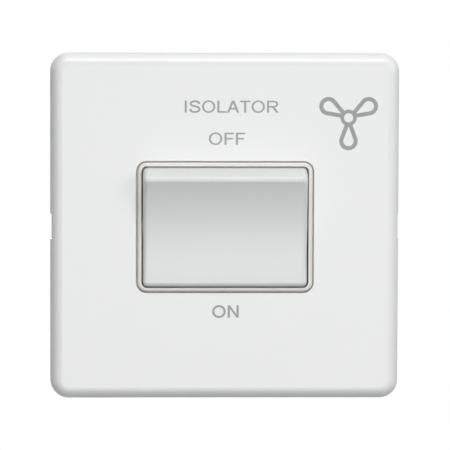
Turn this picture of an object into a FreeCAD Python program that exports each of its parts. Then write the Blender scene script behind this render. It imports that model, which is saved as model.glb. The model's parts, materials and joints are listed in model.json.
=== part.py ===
# Three-pole fan isolator switch on a clip-on plate, in millimetres.
# Frame: X to the right, Z up, Y into the wall. The wall plane is Y = 0, the front looks along -Y.
# The origin is midway between the two fixing screws, on the wall plane.
# The rocker is modelled mid-travel about its own pivot, then tipped to ON, with its lower end pressed in.
import FreeCAD
import Part
import math
import os

Vector = FreeCAD.Vector
AXIS_X = Vector(1, 0, 0)
AXIS_Y = Vector(0, 1, 0)
AXIS_Z = Vector(0, 0, 1)
SIDES = (-1, 1)
POLES = {"left": -1, "centre": 0, "right": 1}

# Front plate
plate_width = 86.0
plate_height = 85.3
plate_depth = 5.0
plate_wall = 1.8
plate_rim_wall = 2.0
plate_corner_radius = 4.6
edge_roll_width = 2.85
edge_land = 2.0
edge_draft = 0.15
aperture_edge_radius = 0.25
notch_length = 6.2

# Clips that hold the plate on the frame
hook_inset_x = 14.6
hook_inset_z = 4.6
hook_width = 7.5
hook_thickness = 1.3
hook_barb = 0.75
hook_tip_gap = 0.5
hook_clearance = 0.2

# Mounting frame
frame_gap = 0.4
frame_panel = 1.6
frame_rim_wall = 1.6
frame_corner_radius = 2.0
frame_rib_thickness = 1.2
frame_rib_offset = 13.0
fixing_spacing = 60.3
fixing_slot_width = 4.4
fixing_slot_length = 7.6
fixing_floor = 1.4
fixing_pad_width = 12.0
fixing_pad_height = 13.0
fixing_pad_wall = 1.4

# Rocker
rocker_width = 40.4
rocker_end_radius = 15.25
rocker_pivot_depth = 4.5
rocker_face_half_height = 13.4
rocker_face_radius = 48.0
rocker_wall = 1.6
rocker_skirt_front = 1.0
rocker_corner_radius = 1.2
rocker_edge_radius = 1.1
rocker_tilt = 8.0
rocker_gap = 0.25
rocker_side_gap = 0.3
rocker_stop_gap = 0.1
rocker_rib = 1.2
pin_radius = 1.6
pin_length = 2.0
pin_clearance = 0.05
pin_cheek_radius = 3.0

# Switch cover, whose collar shows round the rocker
collar_side_lip = 1.05
collar_end_lip = 1.1
collar_proud = 0.5
collar_gap = 0.25
collar_corner_radius = 2.3
collar_edge_radius = 0.65
collar_inner_edge_radius = 0.25
cover_side_wall = 2.7
cover_step_wall = 1.4
cover_rear = 4.6
cover_corner_radius = 1.5
cover_pocket_width = 8.0
cover_pocket_floor = 2.0
cover_pocket_wall = 1.6
hold_down_width = 4.4
hold_down_thickness = 1.4
hold_down_gap = 0.1

# Plungers and their springs, in tubes under the rocker
pole_margin = 6.7
plunger_radius = 2.1
plunger_clearance = 0.1
plunger_reach = 8.5
plunger_shoulder = 1.5
plunger_spigot_radius = 1.2
plunger_spigot_length = 1.3
plunger_tip_gap = 0.1
tube_wall = 1.0
tube_rear = 5.0
tube_end = -3.5
spring_wire_radius = 0.25
spring_radius = 1.6
spring_turns = 4
spring_end_gap = 0.05

# See-saw contacts, which rock on the fulcrum strips
contact_swing = 10.0
contact_width = 5.0
contact_thickness = 1.2
contact_groove_offset = 0.25
contact_groove_clearance = 0.05
contact_tip_arm = 8.6
contact_tip_margin = 2.0
contact_tail_arm = 7.6
contact_tail_radius = 0.7
contact_gap = 0.1
tip_radius = 1.8
tip_height = 0.6
tip_dome = 0.3
tip_shank_radius = 0.9
tip_shank_clearance = 0.02

# Current-carrying strips and pillar terminals
strip_thickness = 1.2
strip_distance = 3.25
strip_end_margin = 0.4
strip_bend_radius = 0.5
terminal_row_z = 16.5
terminal_width = 7.0
terminal_height = 7.8
terminal_depth = 7.9
terminal_edge_radius = 0.4
terminal_fit = 0.2
wire_bore_radius = 2.0
wire_bore_depth = 2.5
terminal_screw_radius = 1.65
terminal_screw_clearance = 0.1
terminal_head_radius = 2.4
terminal_head_height = 1.8
terminal_head_lift = 0.1
screw_slot_width = 0.7
screw_slot_depth = 0.9

# Switch base
base_wall = 2.4
base_floor = 1.6
barrier = 1.6
chamber_margin = 0.8
tower_wall = 1.3
tower_rear_wall = 2.6
tower_corner_radius = 1.0
screw_access_clearance = 0.4
wire_entry_clearance = 0.4
wire_funnel_depth = 1.2
wire_funnel_flare = 0.7
saddle_clearance = 0.1
saddle_side_gap = 0.2
stop_rib_width = 38.0
stop_rib_thickness = 1.8
stop_rib_outer_gap = 0.35

# Screws that clamp the base and cover to the frame
module_screw_inset_x = 3.0
module_screw_inset_z = 3.1
module_screw_radius = 1.2
module_screw_pilot_clearance = 0.05
module_screw_clearance = 0.2
module_head_radius = 2.2
module_head_height = 1.6
module_head_recess = 2.0
module_screw_end_gap = 0.4
boss_radius = 2.3
boss_length = 3.0
boss_clearance = 0.2
boss_front_skin = 0.6

# Places along Y, from the front to the back
plate_front = -plate_depth
frame_front = plate_front + plate_wall
frame_back = frame_front + frame_panel
collar_front = plate_front - collar_proud
pivot_y = collar_front + rocker_pivot_depth
contact_front = contact_thickness + contact_groove_offset
contact_axis_y = pivot_y + plunger_reach + plunger_tip_gap + contact_front
strip_front = contact_axis_y + strip_distance
strip_back = strip_front + strip_thickness
terminal_back = strip_back + terminal_depth
slab_back = strip_back + base_floor
tower_back = terminal_back + tower_rear_wall
wire_y = strip_back + wire_bore_depth

# Half sizes across X and Z
pole_pitch = rocker_width / 2 - pole_margin
cavity_half_x = rocker_width / 2 + rocker_side_gap
cavity_radius = rocker_end_radius + rocker_gap
opening_half_z = math.sqrt(cavity_radius**2 - rocker_pivot_depth**2)
collar_width = 2 * (cavity_half_x + collar_side_lip)
collar_height = 2 * (opening_half_z + collar_end_lip)
cover_half_x = cavity_half_x + cover_side_wall
step_half_z = cavity_radius + cover_step_wall
cover_half_z = terminal_row_z + terminal_height / 2 + terminal_fit + base_wall
module_screw_x = cover_half_x - module_screw_inset_x
module_screw_z = cover_half_z - module_screw_inset_z
frame_half_x = plate_width / 2 - plate_rim_wall - frame_gap
frame_half_z = plate_height / 2 - plate_rim_wall - frame_gap
hook_x = frame_half_x - hook_inset_x
hook_z = frame_half_z - hook_inset_z
fulcrum_radius = strip_thickness / 2
strip_outer_z = terminal_row_z + terminal_height / 2 - strip_end_margin
pocket_inner_z = terminal_row_z - terminal_height / 2 - terminal_fit
pocket_outer_z = terminal_row_z + terminal_height / 2 + terminal_fit


def box(x_low, x_high, y_low, y_high, z_low, z_high):
    corner = Vector(x_low, y_low, z_low)
    return Part.makeBox(x_high - x_low, y_high - y_low, z_high - z_low, corner)


def rod_x(radius, x_low, x_high, y=0.0, z=0.0):
    return Part.makeCylinder(radius, x_high - x_low, Vector(x_low, y, z), AXIS_X)


def rod_y(radius, y_low, y_high, x=0.0, z=0.0):
    return Part.makeCylinder(radius, y_high - y_low, Vector(x, y_low, z), AXIS_Y)


def rod_z(radius, z_low, z_high, x=0.0, y=0.0):
    return Part.makeCylinder(radius, z_high - z_low, Vector(x, y, z_low), AXIS_Z)


def joined(shapes):
    first, *others = shapes
    return first.multiFuse(others).removeSplitter() if others else first


def without(shape, cutters):
    return shape.cut(cutters).removeSplitter()


def rounded_rectangle(half_x, half_z, radius, y):
    """Closed wire of a rectangle with round corners, in the plane at depth y."""
    flat_x = half_x - radius
    flat_z = half_z - radius
    reach = radius * math.sqrt(0.5)
    edges = []
    for turn, (side_x, side_z) in enumerate(((1, 1), (-1, 1), (-1, -1), (1, -1))):
        centre = Vector(side_x * flat_x, y, side_z * flat_z)
        along_x = centre + Vector(side_x * radius, 0, 0)
        along_z = centre + Vector(0, 0, side_z * radius)
        middle = centre + Vector(side_x * reach, 0, side_z * reach)
        begin, end = (along_x, along_z) if turn % 2 == 0 else (along_z, along_x)
        before = Vector(begin.x, y, -begin.z) if turn % 2 == 0 else Vector(-begin.x, y, begin.z)
        edges.append(Part.LineSegment(before, begin).toShape())
        edges.append(Part.Arc(begin, middle, end).toShape())
    return Part.Wire(edges)


def slab(half_x, half_z, radius, y_front, y_back):
    """Block with round corners between two depths."""
    face = Part.Face(rounded_rectangle(half_x, half_z, radius, y_front))
    return face.extrude(Vector(0, y_back - y_front, 0))


def edges_at_depth(shape, y, half_x, half_z):
    """Edges that lie in the plane at depth y and within a rectangle about the Y axis."""
    found = []
    for edge in shape.Edges:
        limits = edge.BoundBox
        flat = abs(limits.YMin - y) < 1e-4 and abs(limits.YMax - y) < 1e-4
        inside = max(abs(limits.XMin), abs(limits.XMax)) <= half_x + 1e-4
        inside = inside and max(abs(limits.ZMin), abs(limits.ZMax)) <= half_z + 1e-4
        if flat and inside:
            found.append(edge)
    return found


def slotted_head(radius, y_low, y_high):
    """Screw head at the origin's axis with a driver slot in its rear face."""
    head = rod_y(radius, y_low, y_high)
    return head.cut(box(-radius, radius, y_high - screw_slot_depth, y_high,
                        -screw_slot_width / 2, screw_slot_width / 2))


def edge_profile():
    """Face of the plate's edge in section: a quarter ellipse rolls from the front face to the drafted rim."""
    roll_end = plate_corner_radius - edge_draft
    roll_start = roll_end - edge_roll_width
    quarter = Part.Arc(Vector(0, -1, 0), Vector(math.sqrt(0.5), -math.sqrt(0.5), 0), Vector(1, 0, 0))
    stretch = FreeCAD.Matrix()
    stretch.scale(edge_roll_width, plate_depth - edge_land, 1)
    stretch.move(Vector(roll_start, -edge_land, 0))
    roll = quarter.toShape().transformGeometry(stretch)
    corners = [
        Vector(roll_end, -edge_land, 0),
        Vector(plate_corner_radius, 0, 0),
        Vector(0, 0, 0),
        Vector(0, plate_front, 0),
        Vector(roll_start, plate_front, 0),
    ]
    return Part.Face(Part.Wire([roll] + Part.makePolygon(corners).Edges))


def rolled_block():
    """Solid block with the plate's outline and rolled edge: a middle, four straight runs and four corners."""
    flat_x = plate_width / 2 - plate_corner_radius
    flat_z = plate_height / 2 - plate_corner_radius
    profile = edge_profile()
    pieces = [box(-flat_x, flat_x, plate_front, 0, -flat_z, flat_z)]
    for turn in range(4):
        reach, half_run = (flat_x, flat_z) if turn % 2 == 0 else (flat_z, flat_x)
        run = profile.extrude(Vector(0, 0, 2 * half_run))
        corner = profile.revolve(Vector(), AXIS_Y, 90)
        for piece in (run, corner):
            piece.translate(Vector(reach, 0, -half_run))
            piece.rotate(Vector(), AXIS_Y, 90 * turn)
            pieces.append(piece)
    return joined(pieces)


def plate_hook(side_x, side_z):
    """Snap hook behind the plate, whose barb catches behind the frame's panel."""
    inner = hook_z - hook_thickness / 2
    outer = hook_z + hook_thickness / 2
    barb_front = frame_back + hook_clearance / 2
    tip = -hook_tip_gap
    outline = [
        (inner, frame_front - plate_wall / 2),
        (outer, frame_front - plate_wall / 2),
        (outer, barb_front),
        (outer + hook_barb, barb_front),
        (outer, tip),
        (inner, tip),
    ]
    start_x = side_x * hook_x - hook_width / 2
    corners = [Vector(start_x, y, side_z * z) for z, y in outline]
    return Part.Face(Part.makePolygon(corners + corners[:1])).extrude(Vector(hook_width, 0, 0))


def make_front_plate():
    plate = rolled_block()
    tray = slab(plate_width / 2 - plate_rim_wall, plate_height / 2 - plate_rim_wall,
                plate_corner_radius - plate_rim_wall, frame_front, plate_depth)
    aperture_x = collar_width / 2 + collar_gap
    aperture_z = collar_height / 2 + collar_gap
    aperture = slab(aperture_x, aperture_z, collar_corner_radius + collar_gap, 2 * plate_front, plate_depth)
    notches = box(-plate_width, plate_width, frame_front, plate_depth, -notch_length / 2, notch_length / 2)
    plate = without(plate, [tray, aperture, notches])
    plate = plate.makeFillet(aperture_edge_radius, edges_at_depth(plate, plate_front, aperture_x, aperture_z))
    return joined([plate] + [plate_hook(x, z) for x in SIDES for z in SIDES])


def fixing_slot(side, y_low, y_high):
    """Slot for one fixing screw, long way across."""
    end = (fixing_slot_length - fixing_slot_width) / 2
    centre_x = side * fixing_spacing / 2
    ends = [rod_y(fixing_slot_width / 2, y_low, y_high, centre_x + shift * end) for shift in SIDES]
    middle = box(centre_x - end, centre_x + end, y_low, y_high, -fixing_slot_width / 2, fixing_slot_width / 2)
    return joined(ends + [middle])


def module_screw_places():
    return [(x * module_screw_x, z * module_screw_z) for x in SIDES for z in SIDES]


def frame_ribs():
    """Stiffening ribs on the back of the frame, from the switch to the rim."""
    half = frame_rib_thickness / 2
    rear = -hook_tip_gap
    ribs = []
    for side in SIDES:
        for shift in SIDES:
            middle = shift * frame_rib_offset
            near_z, far_z = sorted((side * (cover_half_z + 2 * boss_clearance), side * (frame_half_z - half)))
            near_x, far_x = sorted((side * (cover_half_x + 2 * boss_clearance), side * (frame_half_x - half)))
            ribs.append(box(middle - half, middle + half, frame_back, rear, near_z, far_z))
            ribs.append(box(near_x, far_x, frame_back, rear, middle - half, middle + half))
    return ribs


def make_mounting_frame():
    outer = slab(frame_half_x, frame_half_z, frame_corner_radius, frame_front, 0)
    hollow = slab(frame_half_x - frame_rim_wall, frame_half_z - frame_rim_wall,
                  frame_corner_radius - frame_rim_wall / 2, frame_back, plate_depth)
    half_pad_z = fixing_pad_height / 2
    pad = box(-fixing_pad_width / 2, fixing_pad_width / 2, frame_front, 0, -half_pad_z, half_pad_z)
    pads = [pad.translated(Vector(side * fixing_spacing / 2, 0, 0)) for side in SIDES]
    boss = rod_y(boss_radius, frame_back, frame_back + boss_length)
    bosses = [boss.translated(Vector(x, 0, z)) for x, z in module_screw_places()]
    frame = joined([outer.cut(hollow)] + pads + bosses + frame_ribs())
    step_gap = collar_gap / 2
    cuts = [slab(cover_half_x + step_gap, step_half_z + step_gap, cover_corner_radius + step_gap,
                 2 * frame_front, frame_back)]
    pad_x = fixing_pad_width / 2 - fixing_pad_wall
    pad_z = fixing_pad_height / 2 - fixing_pad_wall
    for side in SIDES:
        middle = side * fixing_spacing / 2
        cuts.append(box(middle - pad_x, middle + pad_x, 2 * frame_front, -fixing_floor, -pad_z, pad_z))
        cuts.append(fixing_slot(side, 2 * frame_front, plate_depth))
        for row in SIDES:
            low, high = sorted((row * (hook_z - hook_thickness / 2 - hook_clearance),
                                row * (hook_z + hook_thickness / 2 + hook_clearance)))
            half_slot = hook_width / 2 + hook_clearance
            slot = box(-half_slot, half_slot, 2 * frame_front, frame_back, low, high)
            cuts.append(slot.translated(Vector(side * hook_x, 0, 0)))
    pilot_radius = module_screw_radius + module_screw_pilot_clearance
    pilot_front = frame_front + boss_front_skin
    cuts += [rod_y(pilot_radius, pilot_front, 2 * plate_depth, x, z) for x, z in module_screw_places()]
    return without(frame, cuts)


def rocker_cavity():
    """Space the rocker turns in: a barrel about the pivot, open to the rear."""
    barrel = rod_x(cavity_radius, -cavity_half_x, cavity_half_x, pivot_y)
    rims = [edge for edge in barrel.Edges if len(edge.Vertexes) == 1]
    barrel = barrel.makeFillet(rocker_corner_radius + rocker_gap / 2, rims)
    rear = box(-cavity_half_x, cavity_half_x, pivot_y, cover_rear, -cavity_radius, cavity_radius)
    return [barrel, rear]


def pin_slots():
    """Slots in the side walls that the rocker's pins drop into from the rear."""
    radius = pin_radius + pin_clearance
    depth = pin_length + rocker_side_gap / 2
    slots = []
    for side in SIDES:
        low, high = sorted((side * cavity_half_x, side * (rocker_width / 2 + depth)))
        slots.append(rod_x(radius, low, high, pivot_y))
        slots.append(box(low, high, pivot_y, cover_rear, -radius, radius))
    return slots


def make_switch_cover():
    collar = slab(collar_width / 2, collar_height / 2, collar_corner_radius, collar_front, frame_front)
    front_rim = edges_at_depth(collar, collar_front, collar_width, collar_height)
    collar = collar.makeFillet(collar_edge_radius, front_rim)
    step = slab(cover_half_x, step_half_z, cover_corner_radius, frame_front, frame_back)
    body = slab(cover_half_x, cover_half_z, cover_corner_radius, frame_back, cover_rear)
    cuts = rocker_cavity() + pin_slots()
    pocket_low = cavity_radius + cover_pocket_wall
    pocket_high = cover_half_z - cover_pocket_wall
    half_pocket = cover_pocket_width / 2
    for row in SIDES:
        low, high = sorted((row * pocket_low, row * pocket_high))
        for side in POLES.values():
            middle = side * pole_pitch
            cuts.append(box(middle - half_pocket, middle + half_pocket,
                            frame_back + cover_pocket_floor, cover_rear, low, high))
    socket_end = frame_back + boss_length + boss_clearance
    for x, z in module_screw_places():
        cuts.append(rod_y(module_screw_radius + module_screw_clearance, frame_front, cover_rear, x, z))
        cuts.append(rod_y(boss_radius + boss_clearance, frame_front, socket_end, x, z))
    cover = without(joined([collar, step, body]), cuts)
    opening = edges_at_depth(cover, collar_front, cavity_half_x, opening_half_z)
    cover = cover.makeFillet(collar_inner_edge_radius, opening)
    return joined([cover] + hold_down_ribs())


def hold_down_ribs():
    """Ribs behind the cover that press each contact strip on its seat."""
    ribs = []
    rib_low = cavity_radius + hold_down_gap
    for row in SIDES:
        low, high = sorted((row * rib_low, row * (rib_low + hold_down_thickness)))
        for side in POLES.values():
            middle = side * pole_pitch
            ribs.append(box(middle - hold_down_width / 2, middle + hold_down_width / 2,
                            cover_rear - cover_pocket_floor, strip_front - hold_down_gap, low, high))
    return ribs


def base_towers():
    """One terminal tower for each pole at the top and the bottom of the base."""
    half = terminal_width / 2 + terminal_fit + tower_wall
    inner = pocket_inner_z - tower_wall
    centre_z = (inner + cover_half_z) / 2
    tower = slab(half, (cover_half_z - inner) / 2, tower_corner_radius, slab_back - base_floor, tower_back)
    towers = []
    for row in SIDES:
        for side in POLES.values():
            towers.append(tower.translated(Vector(side * pole_pitch, 0, row * centre_z)))
    return towers


def pole_cuts(side):
    """Contact chamber, terminal pockets, driver holes and wire entries of one pole."""
    x = side * pole_pitch
    half_chamber = (pole_pitch - barrier) / 2
    half_pocket = terminal_width / 2 + terminal_fit
    chamber_z = contact_tip_arm + contact_tip_margin + chamber_margin
    entry_radius = wire_bore_radius + wire_entry_clearance
    cuts = [box(x - half_chamber, x + half_chamber, 0, strip_back, -chamber_z, chamber_z)]
    for row in SIDES:
        low, high = sorted((row * pocket_inner_z, row * pocket_outer_z))
        cuts.append(box(x - half_pocket, x + half_pocket, 0, terminal_back, low, high))
        low, high = sorted((0, row * pocket_outer_z))
        cuts.append(box(x - half_pocket, x + half_pocket, 0, strip_back, low, high))
        hole_radius = terminal_head_radius + screw_access_clearance
        cuts.append(rod_y(hole_radius, strip_back, 2 * tower_back, x, row * terminal_row_z))
        mouth = Vector(x, wire_y, row * cover_half_z)
        outward = Vector(0, 0, row)
        mouth_radius = entry_radius + wire_funnel_flare
        cuts.append(Part.makeCylinder(entry_radius, base_wall + terminal_fit, mouth, -outward))
        cuts.append(Part.makeCone(mouth_radius, entry_radius, wire_funnel_depth, mouth, -outward))
    return cuts


def pin_saddles():
    """Posts on the base that close the pin slots behind the rocker's pins."""
    half = pin_radius + pin_clearance - saddle_clearance
    posts = []
    for side in SIDES:
        low, high = sorted((side * (cavity_half_x + saddle_side_gap), side * (rocker_width / 2 + pin_length)))
        post = box(low, high, pivot_y, cover_rear + base_floor, -half, half)
        posts.append(post.cut(rod_x(pin_radius + pin_clearance, low, high, pivot_y)))
    return posts


def stop_ribs():
    """Ribs that the rocker's skirt lands on at the end of its travel."""
    tilt = math.radians(rocker_tilt)
    skirt_z = math.sqrt(rocker_end_radius**2 - rocker_skirt_front**2)
    landing = pivot_y - rocker_skirt_front * math.cos(tilt) + skirt_z * math.sin(tilt)
    outer = cavity_radius - stop_rib_outer_gap
    half = stop_rib_width / 2
    ribs = []
    for row in SIDES:
        low, high = sorted((row * (outer - stop_rib_thickness), row * outer))
        ribs.append(box(-half, half, landing + rocker_stop_gap, cover_rear + base_floor, low, high))
    return ribs


def make_switch_base():
    block = slab(cover_half_x, cover_half_z, cover_corner_radius, cover_rear, slab_back)
    base = joined([block] + base_towers() + stop_ribs())
    behind_joint = box(-cover_half_x, cover_half_x, cover_rear, 2 * tower_back, -cover_half_z, cover_half_z)
    cuts = [cut.common(behind_joint) for side in POLES.values() for cut in pole_cuts(side)]
    head_seat = slab_back - module_head_recess
    for x, z in module_screw_places():
        cuts.append(rod_y(module_screw_radius + module_screw_clearance, 0, 2 * slab_back, x, z))
        cuts.append(rod_y(module_head_radius + module_screw_clearance, head_seat, slab_back, x, z))
    return joined([without(base, cuts)] + pin_saddles())


def tipped_rocker(shape):
    """Moves a shape from the rocker's own axes to its ON place."""
    placed = shape.copy()
    placed.rotate(Vector(), AXIS_X, rocker_tilt)
    placed.translate(Vector(0, pivot_y, 0))
    return placed


def rocker_face_centre():
    """Distance in front of the pivot of the centre that the dished face is struck from."""
    rise = math.sqrt(rocker_end_radius**2 - rocker_face_half_height**2)
    return rise + math.sqrt(rocker_face_radius**2 - rocker_face_half_height**2)


def face_bottom():
    """Distance in front of the pivot of the deepest line of the dished face."""
    return rocker_face_centre() - rocker_face_radius


def lies_on_dish(edge):
    """True for an edge that starts and ends on the rocker's dished face."""
    from_axis = [math.hypot(point.Y + rocker_face_centre(), point.Z) for point in edge.Vertexes]
    return all(abs(distance - rocker_face_radius) < 1e-3 for distance in from_axis)


def rocker_shell():
    half = rocker_width / 2
    barrel = rod_x(rocker_end_radius, -half, half)
    rims = [edge for edge in barrel.Edges if len(edge.Vertexes) == 1]
    barrel = barrel.makeFillet(rocker_corner_radius, rims)
    dish = rod_x(rocker_face_radius, -rocker_width, rocker_width, -rocker_face_centre())
    rear = box(-rocker_width, rocker_width, -rocker_skirt_front, rocker_width, -rocker_width, rocker_width)
    shell = barrel.cut([dish, rear])
    shell = shell.makeFillet(rocker_edge_radius, [edge for edge in shell.Edges if lies_on_dish(edge)])
    inside = rod_x(rocker_end_radius - rocker_wall, -half + rocker_wall, half - rocker_wall)
    inner_dish = rod_x(rocker_face_radius + rocker_wall, -rocker_width, rocker_width, -rocker_face_centre())
    return shell.cut(inside.cut(inner_dish))


def make_rocker():
    half = rocker_width / 2
    tube_radius = plunger_radius + plunger_clearance + tube_wall
    tube_front = -(face_bottom() - rocker_wall / 2)
    pieces = [rocker_shell()]
    bores = []
    for side in POLES.values():
        pieces.append(rod_y(tube_radius, tube_front, tube_rear, side * pole_pitch))
        bores.append(rod_y(plunger_radius + plunger_clearance, tube_end, 2 * tube_rear, side * pole_pitch))
    pieces.append(box(-half + rocker_wall / 2, half - rocker_wall / 2, tube_front, rocker_skirt_front,
                      -rocker_rib / 2, rocker_rib / 2))
    for side in SIDES:
        inner, outer = sorted((side * (half - rocker_wall), side * half))
        cheek = rod_x(pin_cheek_radius, inner, outer)
        web = box(inner, outer, -rocker_pivot_depth, 0, -pin_cheek_radius, pin_cheek_radius)
        low, high = sorted((side * (half - rocker_wall / 2), side * (half + pin_length)))
        pieces += [cheek, web, rod_x(pin_radius, low, high)]
    return tipped_rocker(without(joined(pieces), bores))


def make_plunger(side):
    """Rounded contact plunger with a spigot for its spring, sliding in the rocker's tube."""
    x = side * pole_pitch
    ball_y = plunger_reach - plunger_radius
    body = rod_y(plunger_radius, plunger_shoulder, ball_y, x)
    ball = Part.makeSphere(plunger_radius, Vector(x, ball_y, 0))
    spigot = rod_y(plunger_spigot_radius, plunger_shoulder - plunger_spigot_length, plunger_shoulder, x)
    return tipped_rocker(joined([body, ball, spigot]))


def make_plunger_spring(side):
    """Coil spring between the end of the tube and the plunger's shoulder, as half turns tilted to and fro."""
    margin = spring_wire_radius + spring_end_gap
    start = tube_end + margin
    rise = (plunger_shoulder - margin - start) / (2 * spring_turns)
    halves = []
    for half in range(2 * spring_turns):
        end = 1 if half % 2 == 0 else -1
        low = start + half * rise
        section = Part.makeCircle(spring_wire_radius, Vector(end * spring_radius, low, 0), AXIS_Z)
        tilted_axis = Vector(end * rise, 2 * spring_radius, 0)
        centre = Vector(0, low + rise / 2, 0)
        halves.append(Part.Face(Part.Wire(section)).revolve(centre, tilted_axis, 180))
    return tipped_rocker(joined(halves).translated(Vector(side * pole_pitch, 0, 0)))


def rocked(shape, side):
    """Moves a shape from a see-saw contact's own axes to its closed place."""
    placed = shape.copy()
    placed.rotate(Vector(), AXIS_X, -contact_swing)
    placed.translate(Vector(side * pole_pitch, contact_axis_y, 0))
    return placed


def tail_centre():
    """How far behind the fulcrum axis the rounded tail ends, so that it rests on the strip when open."""
    swing = math.radians(contact_swing)
    reach = strip_distance - contact_gap - contact_tail_radius - contact_tail_arm * math.sin(swing)
    return reach / math.cos(swing)


def make_moving_contact(side):
    """See-saw blade with a fulcrum groove, a hole for its contact tip and a bent tail."""
    half = contact_width / 2
    front = -contact_front
    rear = -contact_groove_offset
    blade = box(-half, half, front, rear, -contact_tail_arm - contact_tail_radius,
                contact_tip_arm + contact_tip_margin)
    tail = box(-half, half, front, tail_centre(), -contact_tail_arm - contact_tail_radius,
               -contact_tail_arm + contact_tail_radius)
    tail_end = rod_x(contact_tail_radius, -half, half, tail_centre(), -contact_tail_arm)
    groove = rod_x(fulcrum_radius + contact_groove_clearance, -contact_width, contact_width)
    hole = rod_y(tip_shank_radius + tip_shank_clearance, 2 * front, -front, 0, contact_tip_arm)
    return rocked(without(joined([blade, tail, tail_end]), [groove, hole]), side)


def domed_tip(shank_length, head_height):
    """Contact rivet along +Y: a shank up to y = 0, then a head with a domed face."""
    sphere_radius = (tip_radius**2 + tip_dome**2) / (2 * tip_dome)
    head = rod_y(tip_radius, 0, head_height + tip_dome)
    dome = Part.makeSphere(sphere_radius, Vector(0, head_height + tip_dome - sphere_radius, 0))
    shank = rod_y(tip_shank_radius, -shank_length, head_height / 2)
    return joined([head.common(dome), shank])


def make_moving_contact_tip(side):
    tip = domed_tip(contact_thickness, tip_height)
    tip.translate(Vector(0, -contact_groove_offset, contact_tip_arm))
    return rocked(tip, side)


def closed_tip_place():
    """Where the moving tip's dome stands when closed: (y behind the fulcrum axis, z)."""
    swing = math.radians(contact_swing)
    apex = tip_height + tip_dome - contact_groove_offset
    behind = apex * math.cos(swing) + contact_tip_arm * math.sin(swing)
    across = contact_tip_arm * math.cos(swing) - apex * math.sin(swing)
    return behind, across


def make_fixed_contact_tip(side):
    behind, across = closed_tip_place()
    head_height = strip_distance - behind - contact_gap - tip_dome
    tip = domed_tip(strip_thickness, head_height)
    tip.rotate(Vector(), AXIS_Z, 180)
    tip.translate(Vector(side * pole_pitch, strip_front, across))
    return tip


def make_fixed_contact(side):
    """Strip from the fixed contact tip to the load terminal, along the floor of the chamber."""
    x = side * pole_pitch
    half = contact_width / 2
    across = closed_tip_place()[1]
    strip = box(x - half, x + half, strip_front, strip_back, across - contact_tip_margin, strip_outer_z)
    hole = rod_y(tip_shank_radius + tip_shank_clearance, strip_front - 1, strip_back + 1, x, across)
    return strip.cut(hole)


def make_fulcrum_strip(side):
    """Strip from the line terminal, folded up at its end into the round edge that the see-saw rocks on."""
    x = side * pole_pitch
    half = contact_width / 2
    strip = box(x - half, x + half, strip_front, strip_back, -strip_outer_z, fulcrum_radius)
    tab = box(x - half, x + half, contact_axis_y, strip_back, -fulcrum_radius, fulcrum_radius)
    edge = rod_x(fulcrum_radius, x - half, x + half, contact_axis_y)
    bent = joined([strip, tab, edge])
    inner_bend = []
    outer_bend = []
    for line in bent.Edges:
        middle = line.BoundBox.Center
        along_x = line.BoundBox.XLength > contact_width / 2
        if along_x and abs(middle.y - strip_front) < 1e-6 and abs(middle.z + fulcrum_radius) < 1e-6:
            inner_bend.append(line)
        if along_x and abs(middle.y - strip_back) < 1e-6 and abs(middle.z - fulcrum_radius) < 1e-6:
            outer_bend.append(line)
    return bent.makeFillet(strip_bend_radius, inner_bend + outer_bend)


def make_terminal(side, row):
    """Brass pillar terminal: a wire bore across it, and a tapped hole for the screw from the rear."""
    x = side * pole_pitch
    half = terminal_width / 2
    low = row * terminal_row_z - terminal_height / 2
    high = row * terminal_row_z + terminal_height / 2
    block = box(x - half, x + half, strip_back, terminal_back, low, high)
    uprights = [edge for edge in block.Edges if edge.BoundBox.YLength > terminal_depth / 2]
    block = block.makeFillet(terminal_edge_radius, uprights)
    bore = rod_z(wire_bore_radius, low, high, x, wire_y)
    tapped_radius = terminal_screw_radius + terminal_screw_clearance
    tapped = rod_y(tapped_radius, wire_y, terminal_back, x, row * terminal_row_z)
    return block.cut([bore, tapped])


def make_terminal_screws():
    tip = wire_y + wire_bore_radius + terminal_screw_clearance
    seat = terminal_back + terminal_head_lift
    shank = rod_y(terminal_screw_radius, tip, seat)
    screw = joined([shank, slotted_head(terminal_head_radius, seat, seat + terminal_head_height)])
    places = [(side * pole_pitch, row * terminal_row_z) for row in SIDES for side in POLES.values()]
    return Part.makeCompound([screw.translated(Vector(x, 0, z)) for x, z in places])


def make_module_screws():
    seat = slab_back - module_head_recess
    tip = frame_front + boss_front_skin + module_screw_end_gap
    shank = rod_y(module_screw_radius, tip, seat)
    screw = joined([shank, slotted_head(module_head_radius, seat, seat + module_head_height)])
    return Part.makeCompound([screw.translated(Vector(x, 0, z)) for x, z in module_screw_places()])


def all_nodes():
    nodes = {
        "front_plate": make_front_plate(),
        "mounting_frame": make_mounting_frame(),
        "switch_cover": make_switch_cover(),
        "switch_base": make_switch_base(),
        "rocker": make_rocker(),
        "terminal_screws": make_terminal_screws(),
        "module_screws": make_module_screws(),
    }
    for name, side in POLES.items():
        nodes["plunger_" + name] = make_plunger(side)
        nodes["plunger_spring_" + name] = make_plunger_spring(side)
        nodes["moving_contact_" + name] = make_moving_contact(side)
        nodes["moving_contact_tip_" + name] = make_moving_contact_tip(side)
        nodes["fixed_contact_" + name] = make_fixed_contact(side)
        nodes["fixed_contact_tip_" + name] = make_fixed_contact_tip(side)
        nodes["fulcrum_strip_" + name] = make_fulcrum_strip(side)
        nodes["load_terminal_" + name] = make_terminal(side, 1)
        nodes["line_terminal_" + name] = make_terminal(side, -1)
    return nodes


os.makedirs("parts", exist_ok=True)
for node, shape in all_nodes().items():
    shape.exportStep("parts/" + node + ".step")
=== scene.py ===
import json
import math

import bpy
from mathutils import Matrix, Vector

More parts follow.
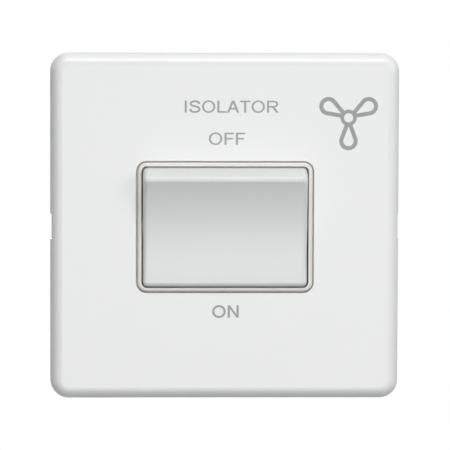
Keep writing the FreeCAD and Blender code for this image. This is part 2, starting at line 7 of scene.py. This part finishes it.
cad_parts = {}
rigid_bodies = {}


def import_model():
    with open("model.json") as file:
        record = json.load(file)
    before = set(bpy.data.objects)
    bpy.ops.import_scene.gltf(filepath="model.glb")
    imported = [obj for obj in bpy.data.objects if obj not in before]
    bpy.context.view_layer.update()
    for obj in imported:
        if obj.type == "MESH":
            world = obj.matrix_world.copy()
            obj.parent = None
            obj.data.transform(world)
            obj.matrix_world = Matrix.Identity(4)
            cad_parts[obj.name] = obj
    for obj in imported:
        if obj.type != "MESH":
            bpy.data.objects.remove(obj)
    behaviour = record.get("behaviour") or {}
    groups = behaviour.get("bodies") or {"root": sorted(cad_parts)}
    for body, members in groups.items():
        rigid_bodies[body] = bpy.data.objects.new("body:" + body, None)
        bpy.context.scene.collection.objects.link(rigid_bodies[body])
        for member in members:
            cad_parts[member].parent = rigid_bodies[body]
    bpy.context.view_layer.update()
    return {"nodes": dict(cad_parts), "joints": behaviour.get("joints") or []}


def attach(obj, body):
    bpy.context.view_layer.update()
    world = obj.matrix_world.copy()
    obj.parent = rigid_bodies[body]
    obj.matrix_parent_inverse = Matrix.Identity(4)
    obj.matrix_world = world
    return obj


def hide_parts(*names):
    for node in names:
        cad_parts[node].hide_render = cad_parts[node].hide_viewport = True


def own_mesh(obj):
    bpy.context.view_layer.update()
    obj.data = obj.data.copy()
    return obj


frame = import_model()

MM = 0.001
WHITE = (1.0, 1.0, 1.0, 1.0)

# camera, fitted to the photograph
IMAGE_PIXELS = 450
SENSOR_WIDTH = 36.0
CAMERA_DISTANCE = 0.991
CAMERA_LEFT_DEG = 1.844
CAMERA_UP_DEG = 4.878
CAMERA_ROLL_DEG = -0.185
FOCAL_PIXELS = 4012.8
CENTRE_X_PIXEL = 224.372
CENTRE_Y_PIXEL = 225.432
CLIP_START = 0.05
CLIP_END = 20.0

# floor and room, in metres
FLOOR_Z = -0.15
FLOOR_RADIUS = 0.15
FLOOR_SIDES = 96
FLOOR_FADE_START = 0.06
FLOOR_FADE_END = 0.14
FLOOR_ROUGHNESS = 0.9
FLOOR_PALE = (0.90, 0.905, 0.91, 1.0)
FLOOR_BOUNCE = (0.10, 0.10, 0.102, 1.0)
ROOM_TONE = (0.100, 0.102, 0.104, 1.0)

# lamps: place, width and height in metres, then watts
LAMPS = (
    ("lamp_front", (0.05, -1.25, -0.13), 0.56, 0.66, 4.58),
    ("lamp_low", (0.05, -1.15, -0.72), 0.56, 0.60, 1.2),
    ("lamp_left", (-0.85, -1.00, 0.05), 0.80, 0.80, 1.5),
    ("lamp_right", (1.00, -0.75, 0.35), 0.60, 0.60, 4.6),
    ("lamp_over", (0.13, -1.00, 1.735), 1.28, 0.48, 18.6),
    ("lamp_top", (0.0, 0.02, 1.70), 1.00, 1.00, 3.5),
    ("lamp_back", (0.0, 1.25, 0.06), 0.30, 0.12, 6.0),
    ("lamp_back_top", (0.0, 1.09, 1.30), 1.00, 1.00, 2.2),
)

# noise patterns of the materials: waves per metre, then octaves
PLASTIC_TONE = (55.0, 3.0)
PLASTIC_GLOSS = (420.0, 4.0)
PLASTIC_GRAIN = (2600.0, 2.0)
METAL_TONE = (300.0, 4.0)
METAL_GLOSS = (700.0, 5.0)
METAL_GRAIN = (1800.0, 3.0)
INK_TONE = (1500.0, 4.0)
INK_GLOSS = (900.0, 3.0)

# the span of a noise's values over which tone and gloss change
NOISE_LOW = 0.3
NOISE_HIGH = 0.7

# how a noise is stretched: the small number is the axis that its streaks follow
NO_STREAKS = (1.0, 1.0, 1.0)
STREAKS_ALONG_Y = (1.0, 0.08, 1.0)
STREAKS_ALONG_Z = (1.0, 1.0, 0.08)
SPRING_STREAKS = (1.0, 0.1, 1.0)

# other values that the materials of one kind share, depths in metres
PLASTIC_IOR = 1.58
PLASTIC_GRAIN_DEPTH = 0.00004
METAL_GRAIN_DEPTH = 0.00002
INK_SMOOTH = 0.42
INK_ROUGH = 0.55

# print on the plate, in mm
PRINT_FACE_Y = -5.0
PRINT_PROUD = 0.02
PRINT_SUNK = 0.02
FINE_STEM = 0.49
FINE_BAR = 0.37
BOLD_STEM = 0.55
BOLD_BAR = 0.51

# letters of each word, with their left edges and widths in mm
ISOLATOR = (
    ("I", -9.97, 0.50),
    ("S", -8.86, 2.74),
    ("O", -5.74, 3.25),
    ("L", -1.98, 2.31),
    ("A", 0.41, 2.95),
    ("T", 3.57, 2.55),
    ("O", 6.41, 3.28),
    ("R", 10.22, 2.85),
)
OFF = (
    ("O", -4.04, 3.30),
    ("F", -0.19, 2.31),
    ("F", 2.62, 2.26),
)
ON = (
    ("O", -3.10, 3.34),
    ("N", 0.73, 2.71),
)

# letter shapes: heights are shares of a letter's height, reaches are shares of its width
F_ARM_HEIGHT = 0.44
F_ARM_REACH = 0.88
N_SLANT_HEIGHT = 0.27
O_OVERSHOOT = 0.02
A_ARM_HEIGHT = 0.27
R_WAIST_HEIGHT = 0.43
R_BOWL_CENTRE_REACH = 0.56
R_BOWL_REACH = 0.40
R_BOWL_START_DEG = -66
R_LEG_INNER_REACH = 0.44
R_LEG_OUTER_REACH = 0.66
R_LEG_OUTER_RISE = 0.02
S_LINE = (
    (0.90, 0.715), (0.84, 0.845), (0.70, 0.922), (0.50, 0.944), (0.29, 0.915), (0.155, 0.83),
    (0.135, 0.715), (0.235, 0.61), (0.44, 0.545), (0.68, 0.485), (0.86, 0.40), (0.91, 0.275),
    (0.845, 0.15), (0.69, 0.078), (0.49, 0.056), (0.28, 0.082), (0.14, 0.175), (0.09, 0.31),
)

# letter shapes: widths in stems
A_FOOT_STEMS = 1.1
A_PEAK_STEMS = 0.62
R_FOOT_INNER_STEMS = 1.15
R_FOOT_OUTER_STEMS = 0.05

# fan sign, in mm: a blade is a round lobe that tapers towards the hub
FAN_LINE = 1.0
FAN_HUB_OUTER = 2.0
FAN_HUB_INNER = 1.12
FAN_LOBE_REACH = 5.71
FAN_LOBE_RADIUS = 2.27
FAN_TAPER_DEG = 20.5
FAN_HEADINGS_DEG = (30.0, 150.0, 270.0)
FAN_SPACING_DEG = 120.0

# steps of drawn lines: in an arc, and from one knot of a smooth line to the next
ARC_STEPS = 40
LINE_STEPS = 8


# materials
def new_material(name):
    """A node material with nothing in its tree but the shader and the output."""
    material = bpy.data.materials.new(name)
    material.use_nodes = True
    tree = material.node_tree
    shader = tree.nodes["Principled BSDF"]
    return material, tree, shader


def noise(tree, pattern, stretch=NO_STREAKS):
    """A noise texture in the part's own coordinates."""
    waves, octaves = pattern
    place = tree.nodes.new("ShaderNodeTexCoord")
    mapping = tree.nodes.new("ShaderNodeMapping")
    mapping.inputs["Scale"].default_value = stretch
    texture = tree.nodes.new("ShaderNodeTexNoise")
    texture.inputs["Scale"].default_value = waves
    texture.inputs["Detail"].default_value = octaves
    tree.links.new(place.outputs["Object"], mapping.inputs["Vector"])
    tree.links.new(mapping.outputs["Vector"], texture.inputs["Vector"])
    return texture.outputs["Fac"]


def tone(tree, shader, value, dark, light):
    """Base colour that drifts between two close tones."""
    ramp = tree.nodes.new("ShaderNodeValToRGB")
    ramp.color_ramp.elements[0].position = NOISE_LOW
    ramp.color_ramp.elements[0].color = (*dark, 1.0)
    ramp.color_ramp.elements[1].position = NOISE_HIGH
    ramp.color_ramp.elements[1].color = (*light, 1.0)
    tree.links.new(value, ramp.inputs["Fac"])
    tree.links.new(ramp.outputs["Color"], shader.inputs["Base Color"])


def gloss(tree, shader, value, smooth, rough):
    """Roughness that drifts between two values."""
    spread = tree.nodes.new("ShaderNodeMapRange")
    spread.inputs["From Min"].default_value = NOISE_LOW
    spread.inputs["From Max"].default_value = NOISE_HIGH
    spread.inputs["To Min"].default_value = smooth
    spread.inputs["To Max"].default_value = rough
    tree.links.new(value, spread.inputs["Value"])
    tree.links.new(spread.outputs["Result"], shader.inputs["Roughness"])


def relief(tree, shader, value, depth, strength):
    """Fine surface relief, depth in metres."""
    bump = tree.nodes.new("ShaderNodeBump")
    bump.inputs["Strength"].default_value = strength
    bump.inputs["Distance"].default_value = depth
    tree.links.new(value, bump.inputs["Height"])
    tree.links.new(bump.outputs["Normal"], shader.inputs["Normal"])


def moulded_plastic(name, dark, light, smooth, rough, grain):
    """Moulded plastic: slow drift of tone, fine variation of gloss, spark-eroded grain."""
    material, tree, shader = new_material(name)
    shader.inputs["IOR"].default_value = PLASTIC_IOR
    tone(tree, shader, noise(tree, PLASTIC_TONE), dark, light)
    gloss(tree, shader, noise(tree, PLASTIC_GLOSS), smooth, rough)
    relief(tree, shader, noise(tree, PLASTIC_GRAIN), PLASTIC_GRAIN_DEPTH, grain)
    return material


def metal(name, dark, light, smooth, rough, stretch, grain):
    """Drawn or plated metal: tone, gloss and grain streaked along the working direction."""
    material, tree, shader = new_material(name)
    shader.inputs["Metallic"].default_value = 1.0
    tone(tree, shader, noise(tree, METAL_TONE, stretch), dark, light)
    gloss(tree, shader, noise(tree, METAL_GLOSS, stretch), smooth, rough)
    relief(tree, shader, noise(tree, METAL_GRAIN, stretch), METAL_GRAIN_DEPTH, grain)
    return material


def printing_ink(name, dark, light):
    """Pad-printed ink: a thin, slightly uneven satin film."""
    material, tree, shader = new_material(name)
    tone(tree, shader, noise(tree, INK_TONE), dark, light)
    gloss(tree, shader, noise(tree, INK_GLOSS), INK_SMOOTH, INK_ROUGH)
    return material


plate_plastic = moulded_plastic(
    "plate_plastic",
    dark=(0.814, 0.820, 0.816),
    light=(0.820, 0.826, 0.822),
    smooth=0.345,
    rough=0.370,
    grain=0.04,
)
collar_plastic = moulded_plastic(
    "cover_plastic",
    dark=(0.728, 0.709, 0.672),
    light=(0.743, 0.724, 0.687),
    smooth=0.30,
    rough=0.34,
    grain=0.04,
)
rocker_plastic = moulded_plastic(
    "rocker_plastic",
    dark=(0.696, 0.702, 0.701),
    light=(0.704, 0.710, 0.709),
    smooth=0.335,
    rough=0.360,
    grain=0.04,
)
frame_plastic = moulded_plastic(
    "frame_plastic",
    dark=(0.76, 0.765, 0.75),
    light=(0.81, 0.815, 0.80),
    smooth=0.38,
    rough=0.50,
    grain=0.12,
)
base_plastic = moulded_plastic(
    "base_plastic",
    dark=(0.70, 0.70, 0.68),
    light=(0.76, 0.76, 0.74),
    smooth=0.42,
    rough=0.56,
    grain=0.16,
)
plunger_plastic = moulded_plastic(
    "plunger_plastic",
    dark=(0.62, 0.60, 0.54),
    light=(0.68, 0.66, 0.60),
    smooth=0.36,
    rough=0.48,
    grain=0.08,
)
brass = metal(
    "terminal_brass",
    dark=(0.60, 0.40, 0.14),
    light=(0.78, 0.56, 0.25),
    smooth=0.22,
    rough=0.38,
    stretch=STREAKS_ALONG_Z,
    grain=0.10,
)
copper = metal(
    "contact_copper",
    dark=(0.70, 0.33, 0.18),
    light=(0.88, 0.48, 0.30),
    smooth=0.20,
    rough=0.34,
    stretch=STREAKS_ALONG_Z,
    grain=0.08,
)
silver = metal(
    "contact_silver",
    dark=(0.80, 0.79, 0.76),
    light=(0.93, 0.92, 0.89),
    smooth=0.16,
    rough=0.30,
    stretch=NO_STREAKS,
    grain=0.06,
)
screw_steel = metal(
    "screw_steel",
    dark=(0.38, 0.37, 0.34),
    light=(0.54, 0.53, 0.50),
    smooth=0.44,
    rough=0.56,
    stretch=STREAKS_ALONG_Y,
    grain=0.08,
)
spring_steel = metal(
    "spring_steel",
    dark=(0.42, 0.42, 0.42),
    light=(0.62, 0.62, 0.63),
    smooth=0.18,
    rough=0.32,
    stretch=SPRING_STREAKS,
    grain=0.06,
)
grey_ink = printing_ink(
    "printing_ink",
    dark=(0.300, 0.309, 0.306),
    light=(0.340, 0.349, 0.346),
)

# the first start that fits a node's name counts, so the longer names come first
NODE_FINISHES = (
    ("front_plate", plate_plastic),
    ("mounting_frame", frame_plastic),
    ("switch_cover", collar_plastic),
    ("switch_base", base_plastic),
    ("rocker", rocker_plastic),
    ("plunger_spring", spring_steel),
    ("plunger", plunger_plastic),
    ("moving_contact_tip", silver),
    ("fixed_contact_tip", silver),
    ("moving_contact", copper),
    ("fixed_contact", copper),
    ("fulcrum_strip", copper),
    ("load_terminal", brass),
    ("line_terminal", brass),
    ("terminal_screws", screw_steel),
    ("module_screws", screw_steel),
)

for node_name, node in frame["nodes"].items():
    finish = next(material for start, material in NODE_FINISHES if node_name.startswith(start))
    node.data.materials.clear()
    node.data.materials.append(finish)


# springs
def shortening_spring(slide):
    """A copy of the spring behind one plunger, held on the plunger's parent body in place of the hidden CAD
    spring; it keeps its length as the plunger slides.
    """
    pole = slide["child"].removeprefix("plunger_")
    node_name = "plunger_spring_" + pole
    mesh = frame["nodes"][node_name].data.copy()
    spring = bpy.data.objects.new("shortening_spring_" + pole, mesh)
    bpy.context.scene.collection.objects.link(spring)
    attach(spring, slide["parent"])
    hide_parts(node_name)
    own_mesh(spring)


for joint in frame["joints"]:
    if joint["type"] == "slide":
        shortening_spring(joint)


# drawn lines
def arc(centre, radius_x, radius_y, start_deg, end_deg):
    """Points of an elliptical arc, ends included."""
    points = []
    for step in range(ARC_STEPS + 1):
        angle = math.radians(start_deg + (end_deg - start_deg) * step / ARC_STEPS)
        x = centre[0] + radius_x * math.cos(angle)
        y = centre[1] + radius_y * math.sin(angle)
        points.append((x, y))
    return points


def between(a, b, c, d, share):
    """The value at a share of the way from b to c on a Catmull-Rom curve."""
    slope = c - a
    bend = 2 * a - 5 * b + 4 * c - d
    twist = 3 * b - a - 3 * c + d
    return 0.5 * (2 * b + slope * share + bend * share ** 2 + twist * share ** 3)


def smooth_line(knots):
    """A smooth line through the knots."""
    line = []
    padded = [knots[0], *knots, knots[-1]]
    for four in zip(padded, padded[1:], padded[2:], padded[3:]):
        xs, ys = zip(*four)
        for step in range(LINE_STEPS):
            share = step / LINE_STEPS
            line.append((between(*xs, share), between(*ys, share)))
    line.append(knots[-1])
    return line


def stroke(line, stem, bar):
    """The outline of a stroke along a line, a stem wide where it is upright and a bar where it is level."""
    left = []
    right = []
    for i, (x, y) in enumerate(line):
        before = line[max(i - 1, 0)]
        after = line[min(i + 1, len(line) - 1)]
        run = math.hypot(after[0] - before[0], after[1] - before[1])
        across_x = (before[1] - after[1]) / run * stem / 2
        across_y = (after[0] - before[0]) / run * bar / 2
        left.append((x + across_x, y + across_y))
        right.append((x - across_x, y - across_y))
    return left + right[::-1]


def away(start, heading_deg, distance):
    """The point at a distance from the start in one direction."""
    heading = math.radians(heading_deg)
    return (start[0] + distance * math.cos(heading), start[1] + distance * math.sin(heading))


# outlines of the letters, each 1 high and w wide, with stems t wide and bars b high
def letter_i(t, b, w):
    return [[(0, 0), (w, 0), (w, 1), (0, 1)]]


def letter_l(t, b, w):
    return [[(0, 0), (w, 0), (w, b), (t, b), (t, 1), (0, 1)]]


def letter_t(t, b, w):
    left = w / 2 - t / 2
    right = w / 2 + t / 2
    under = 1 - b
    return [[(left, 0), (right, 0), (right, under), (w, under), (w, 1), (0, 1), (0, under), (left, under)]]


def letter_f(t, b, w):
    reach = F_ARM_REACH * w
    arm_top = F_ARM_HEIGHT + b
    under = 1 - b
    arm = [(t, F_ARM_HEIGHT), (reach, F_ARM_HEIGHT), (reach, arm_top), (t, arm_top)]
    return [[(0, 0), (t, 0), *arm, (t, under), (w, under), (w, 1), (0, 1)]]


def letter_n(t, b, w):
    inner = w - t
    slant_low = [(t, 1 - N_SLANT_HEIGHT), (inner, 0)]
    slant_high = [(inner, N_SLANT_HEIGHT), (t, 1)]
    return [[(0, 0), (t, 0), *slant_low, (w, 0), (w, 1), (inner, 1), *slant_high, (0, 1)]]


def letter_o(t, b, w):
    middle = (w / 2, 0.5)
    half = 0.5 + O_OVERSHOOT
    outside = arc(middle, w / 2, half, 0, 360)[:-1]
    inside = arc(middle, w / 2 - t, half - b, 360, 0)[:-1]
    return [outside, inside]


def letter_a(t, b, w):
    foot = A_FOOT_STEMS * t
    peak = A_PEAK_STEMS * t
    lean = w / 2 - peak
    arm_top = A_ARM_HEIGHT + b
    low = foot + lean * A_ARM_HEIGHT
    high = foot + lean * arm_top
    arm = [(low, A_ARM_HEIGHT), (w - low, A_ARM_HEIGHT)]
    outside = [(0, 0), (foot, 0), *arm, (w - foot, 0), (w, 0), (w / 2 + peak, 1), (w / 2 - peak, 1)]
    inside = [(high, arm_top), (w / 2, (w / 2 - foot) / lean), (w - high, arm_top)]
    return [outside, inside]


def letter_r(t, b, w):
    bowl_rise = (1 - R_WAIST_HEIGHT) / 2
    bowl_reach = R_BOWL_REACH * w
    middle = (R_BOWL_CENTRE_REACH * w, 1 - bowl_rise)
    leg = [
        (R_LEG_INNER_REACH * w, R_WAIST_HEIGHT),
        (w - R_FOOT_INNER_STEMS * t, 0),
        (w + R_FOOT_OUTER_STEMS * t, 0),
        (R_LEG_OUTER_REACH * w, R_WAIST_HEIGHT + R_LEG_OUTER_RISE),
    ]
    bowl = arc(middle, bowl_reach, bowl_rise, R_BOWL_START_DEG, 90)
    hollow = arc(middle, bowl_reach - t, bowl_rise - b, -90, 90)
    outside = [(0, 0), (t, 0), (t, R_WAIST_HEIGHT), *leg, *bowl, (0, 1)]
    inside = [(t, R_WAIST_HEIGHT + b), *hollow, (t, 1 - b)]
    return [outside, inside]


def letter_s(t, b, w):
    line = smooth_line([(x * w, y) for x, y in S_LINE])
    return [stroke(line, t, (t + b) / 2)]


LETTERS = {
    "A": letter_a,
    "F": letter_f,
    "I": letter_i,
    "L": letter_l,
    "N": letter_n,
    "O": letter_o,
    "R": letter_r,
    "S": letter_s,
    "T": letter_t,
}


# printed words and fan sign
def printed(name, loops):
    """A thin film of ink on the plate's face, its outline given as loops of x and z in mm."""
    curve = bpy.data.curves.new(name, "CURVE")
    curve.dimensions = "2D"
    curve.fill_mode = "BOTH"
    curve.extrude = (PRINT_PROUD + PRINT_SUNK) / 2 * MM
    for loop in loops:
        spline = curve.splines.new("POLY")
        spline.points.add(len(loop) - 1)
        for point, (x, z) in zip(spline.points, loop):
            point.co = (x * MM, z * MM, 0.0, 1.0)
        spline.use_cyclic_u = True
    outline = bpy.data.objects.new(name + "_outline", curve)
    bpy.context.scene.collection.objects.link(outline)
    bpy.context.view_layer.update()
    mesh = bpy.data.meshes.new_from_object(outline)
    bpy.data.objects.remove(outline)
    bpy.data.curves.remove(curve)
    mesh.name = name
    film_middle = (PRINT_FACE_Y + (PRINT_SUNK - PRINT_PROUD) / 2) * MM
    upright = Matrix.Rotation(math.pi / 2, 4, "X")
    mesh.transform(Matrix.Translation((0.0, film_middle, 0.0)) @ upright)
    mesh.materials.clear()
    mesh.materials.append(grey_ink)
    piece = bpy.data.objects.new(name, mesh)
    bpy.context.scene.collection.objects.link(piece)
    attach(piece, "housing")


def word(name, letters, bottom, height, stem, bar):
    """One word, in mm; each letter comes with its left edge and its width."""
    loops = []
    for letter, left, width in letters:
        for loop in LETTERS[letter](stem / height, bar / height, width / height):
            loops.append([(left + x * height, bottom + y * height) for x, y in loop])
    printed(name, loops)


def fan_sign(name, hub):
    """Three teardrop blades drawn in outline round a hub ring."""
    hollow_radius = FAN_LOBE_RADIUS - FAN_LINE
    taper = math.sin(math.radians(FAN_TAPER_DEG))
    tip_reach = FAN_LOBE_REACH - hollow_radius / taper
    root_side = FAN_LOBE_RADIUS - FAN_LOBE_REACH * taper
    root_deg = FAN_TAPER_DEG + math.degrees(math.asin(root_side / FAN_HUB_OUTER))
    side_deg = 90 + FAN_TAPER_DEG
    outside = []
    holes = [arc(hub, FAN_HUB_INNER, FAN_HUB_INNER, 360, 0)[:-1]]
    for heading in FAN_HEADINGS_DEG:
        lobe = away(hub, heading, FAN_LOBE_REACH)
        tip = away(hub, heading, tip_reach)
        next_root = heading + FAN_SPACING_DEG - root_deg
        outside += arc(lobe, FAN_LOBE_RADIUS, FAN_LOBE_RADIUS, heading - side_deg, heading + side_deg)
        outside += arc(hub, FAN_HUB_OUTER, FAN_HUB_OUTER, heading + root_deg, next_root)
        holes.append([tip, *arc(lobe, hollow_radius, hollow_radius, heading + side_deg, heading - side_deg)])
    printed(name, [outside, *holes])


word("print_isolator", ISOLATOR, bottom=28.17, height=2.95, stem=FINE_STEM, bar=FINE_BAR)
word("print_off", OFF, bottom=20.28, height=2.97, stem=FINE_STEM, bar=FINE_BAR)
word("print_on", ON, bottom=-22.39, height=3.08, stem=BOLD_STEM, bar=BOLD_BAR)
fan_sign("print_fan_sign", hub=(30.25, 26.95))


# floor, room and lamps
def joined(tree, operation, first, second):
    """One value made from two by a Math node."""
    node = tree.nodes.new("ShaderNodeMath")
    node.operation = operation
    tree.links.new(first, node.inputs[0])
    tree.links.new(second, node.inputs[1])
    return node.outputs["Value"]


def mixed(tree, share, first, second):
    """The first shader where the share is 0, the second where it is 1."""
    mix = tree.nodes.new("ShaderNodeMixShader")
    tree.links.new(share, mix.inputs["Fac"])
    tree.links.new(first, mix.inputs[1])
    tree.links.new(second, mix.inputs[2])
    return mix.outputs["Shader"]


def seen_directly(tree):
    """1 for what the camera sees, straight, in a reflection or through glass, else 0."""
    path = tree.nodes.new("ShaderNodeLightPath")
    seen = joined(tree, "MAXIMUM", path.outputs["Is Camera Ray"], path.outputs["Is Glossy Ray"])
    return joined(tree, "MAXIMUM", seen, path.outputs["Is Transmission Ray"])


def floor_paper():
    """Pale paper that is seen to fade to white further out, and that throws little light back."""
    material, tree, shader = new_material("floor_paper")
    seen = seen_directly(tree)
    shader.inputs["Roughness"].default_value = FLOOR_ROUGHNESS
    shade = tree.nodes.new("ShaderNodeMix")
    shade.data_type = "RGBA"
    shade.inputs["A"].default_value = FLOOR_BOUNCE
    shade.inputs["B"].default_value = FLOOR_PALE
    tree.links.new(seen, shade.inputs["Factor"])
    tree.links.new(shade.outputs["Result"], shader.inputs["Base Color"])
    place = tree.nodes.new("ShaderNodeTexCoord")
    distance = tree.nodes.new("ShaderNodeVectorMath")
    distance.operation = "LENGTH"
    tree.links.new(place.outputs["Object"], distance.inputs[0])
    fade = tree.nodes.new("ShaderNodeMapRange")
    fade.interpolation_type = "SMOOTHSTEP"
    fade.inputs["From Min"].default_value = FLOOR_FADE_START
    fade.inputs["From Max"].default_value = FLOOR_FADE_END
    tree.links.new(distance.outputs["Value"], fade.inputs["Value"])
    glow = tree.nodes.new("ShaderNodeEmission")
    glow.inputs["Color"].default_value = WHITE
    faded = joined(tree, "MULTIPLY", fade.outputs["Result"], seen)
    surface = mixed(tree, faded, shader.outputs["BSDF"], glow.outputs["Emission"])
    tree.links.new(surface, tree.nodes["Material Output"].inputs["Surface"])
    return material


def fading_floor():
    """A round floor under the part, which takes its shadow."""
    vertices = [(0.0, 0.0, FLOOR_Z)]
    for side in range(FLOOR_SIDES):
        angle = 2 * math.pi * side / FLOOR_SIDES
        vertices.append((FLOOR_RADIUS * math.cos(angle), FLOOR_RADIUS * math.sin(angle), FLOOR_Z))
    faces = [(0, 1 + side, 1 + (side + 1) % FLOOR_SIDES) for side in range(FLOOR_SIDES)]
    mesh = bpy.data.meshes.new("floor")
    mesh.from_pydata(vertices, [], faces)
    mesh.materials.append(floor_paper())
    floor = bpy.data.objects.new("floor", mesh)
    bpy.context.scene.collection.objects.link(floor)


def white_room():
    """White where it is seen, a plain soft grey as light."""
    world = bpy.data.worlds.new("room")
    bpy.context.scene.world = world
    world.use_nodes = True
    tree = world.node_tree
    light = tree.nodes["Background"]
    light.inputs["Color"].default_value = ROOM_TONE
    shown = tree.nodes.new("ShaderNodeBackground")
    shown.inputs["Color"].default_value = WHITE
    surface = mixed(tree, seen_directly(tree), light.outputs["Background"], shown.outputs["Background"])
    tree.links.new(surface, tree.nodes["World Output"].inputs["Surface"])


def softbox(name, place, width, height, watts):
    """A rectangular soft lamp aimed at the part."""
    lamp = bpy.data.lights.new(name, "AREA")
    lamp.shape = "RECTANGLE"
    lamp.size = width
    lamp.size_y = height
    lamp.energy = watts
    holder = bpy.data.objects.new(name, lamp)
    holder.location = place
    holder.rotation_mode = "QUATERNION"
    holder.rotation_quaternion = (-Vector(place)).to_track_quat("-Z", "Y")
    holder.visible_camera = False
    bpy.context.scene.collection.objects.link(holder)


fading_floor()
white_room()
for lamp_values in LAMPS:
    softbox(*lamp_values)


# camera
def camera_at_photo_angle():
    """The camera at the photograph's viewing angle, with its framing."""
    left = math.radians(CAMERA_LEFT_DEG)
    up = math.radians(CAMERA_UP_DEG)
    roll = math.radians(CAMERA_ROLL_DEG)
    ahead = Vector((math.sin(left) * math.cos(up), math.cos(left) * math.cos(up), -math.sin(up)))
    level = Vector((math.cos(left), -math.sin(left), 0.0))
    upward = level.cross(ahead)
    across = math.cos(roll) * level - math.sin(roll) * upward
    along = math.sin(roll) * level + math.cos(roll) * upward
    data = bpy.data.cameras.new("camera")
    data.sensor_width = SENSOR_WIDTH
    data.lens = FOCAL_PIXELS * SENSOR_WIDTH / IMAGE_PIXELS
    data.shift_x = (IMAGE_PIXELS / 2 - CENTRE_X_PIXEL) / IMAGE_PIXELS
    data.shift_y = (CENTRE_Y_PIXEL - IMAGE_PIXELS / 2) / IMAGE_PIXELS
    data.clip_start = CLIP_START
    data.clip_end = CLIP_END
    camera = bpy.data.objects.new("camera", data)
    turned = Matrix((across, along, -ahead)).transposed().to_4x4()
    camera.matrix_world = Matrix.Translation(-ahead * CAMERA_DISTANCE) @ turned
    bpy.context.scene.collection.objects.link(camera)
    bpy.context.scene.camera = camera


camera_at_photo_angle()
bpy.context.scene.view_settings.view_transform = "Standard"
